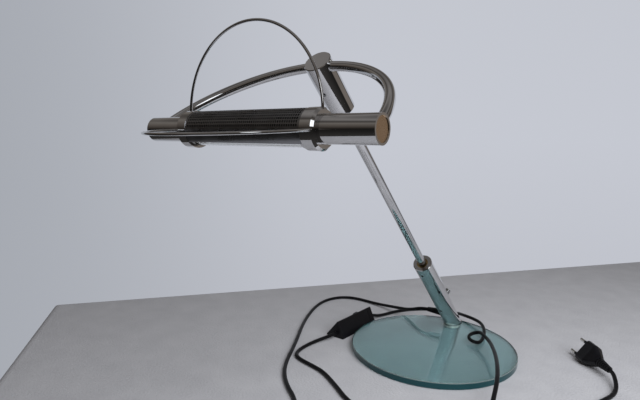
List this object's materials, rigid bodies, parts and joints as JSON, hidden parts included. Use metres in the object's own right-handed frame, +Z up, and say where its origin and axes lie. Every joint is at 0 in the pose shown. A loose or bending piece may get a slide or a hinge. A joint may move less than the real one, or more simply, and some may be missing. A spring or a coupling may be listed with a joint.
{
  "type": "desk lamp",
  "caption": "Halogen desk lamp: round glass base, leaning chrome post and rod, a bow that carries a turning perforated tube shade with wire loops, and a cord with dimmer and plug.",
  "frame": {"origin": "Centre of the glass disc's underside, on the surface that the lamp stands on.", "axes": "+Z up; +X along the lamp head; the arm leans towards -Y, the front."},
  "size_m": [0.4327, 0.5593, 0.3571],
  "materials": {
    "base_glass": "clear green-edged plate glass",
    "tube_glass": "clear",
    "quartz": "clear",
    "chrome": "polished",
    "end_plug": "turned, bright",
    "shade_steel": "perforated, dark satin",
    "screw_steel": "bright",
    "bearing_brass": "plain",
    "pin_metal": "nickel plated",
    "nylon": "plain",
    "gasket_rubber": "matt",
    "ceramic": "glazed ceramic",
    "wire_sheath": "plain",
    "cord_black": "smooth black sheath",
    "switch_black": "black, slightly glossy",
    "board": "plain"
  },
  "bodies": {
    "base": {"glass_disc": "base_glass", "base_bolt": "screw_steel", "bolt_seat": "nylon", "foot_gasket": "gasket_rubber", "post": "chrome", "upper_bush": "bearing_brass", "lower_bush": "bearing_brass", "post_set_screws": "screw_steel", "post_lock_screw": "screw_steel", "cord_relief": "cord_black", "cord_lamp": "cord_black", "cord_plug": "cord_black", "switch_base": "switch_black", "switch_cover": "switch_black", "switch_screws": "screw_steel", "dimmer_board": "board", "plug_body": "switch_black", "plug_pins": "pin_metal", "pin_sleeves": "switch_black", "plug_relief": "cord_black"},
    "arm": {"arm_rod": "chrome", "arm_cable": "wire_sheath", "clamp": "chrome", "clamp_set_screw": "screw_steel"},
    "head": {"bow": "chrome", "bow_sleeve": "nylon", "lead_left": "wire_sheath", "lead_right": "wire_sheath", "cap_left": "chrome", "cap_right": "chrome", "cap_end_left": "end_plug", "cap_end_right": "end_plug", "lampholder_left": "ceramic", "lampholder_right": "ceramic", "contact_left": "bearing_brass", "contact_right": "bearing_brass", "retaining_rings": "screw_steel", "lamp_envelope": "quartz", "lamp_ends": "ceramic", "lamp_filament": "screw_steel"},
    "shade": {"ring_left": "chrome", "ring_right": "chrome", "glass_tube": "tube_glass", "shade_shell": "shade_steel", "loop_top": "chrome", "loop_front": "chrome"},
    "slider": {"switch_slider": "switch_black"}
  },
  "joints": [
    {"name": "arm_swivel", "type": "hinge", "parent": "base", "child": "arm", "pos_m": [-0.0047, 0.0918, 0.008], "axis": [0, -0.7314, 0.682], "range_deg": [-90, 90]},
    {"name": "head_tilt", "type": "hinge", "parent": "arm", "child": "head", "pos_m": [-0.0047, -0.25815, 0.33434], "axis": [1, 0, 0], "range_deg": [-60, 40]},
    {"name": "shade_turn", "type": "hinge", "parent": "head", "child": "shade", "pos_m": [-0.0047, -0.34074, 0.28213], "axis": [1, 0, 0], "continuous": true},
    {"name": "dimmer_slide", "type": "slide", "parent": "base", "child": "slider", "axis": [0.0663, 0.9978, 0], "range_m": [-0.011, 0.011]}
  ]
}
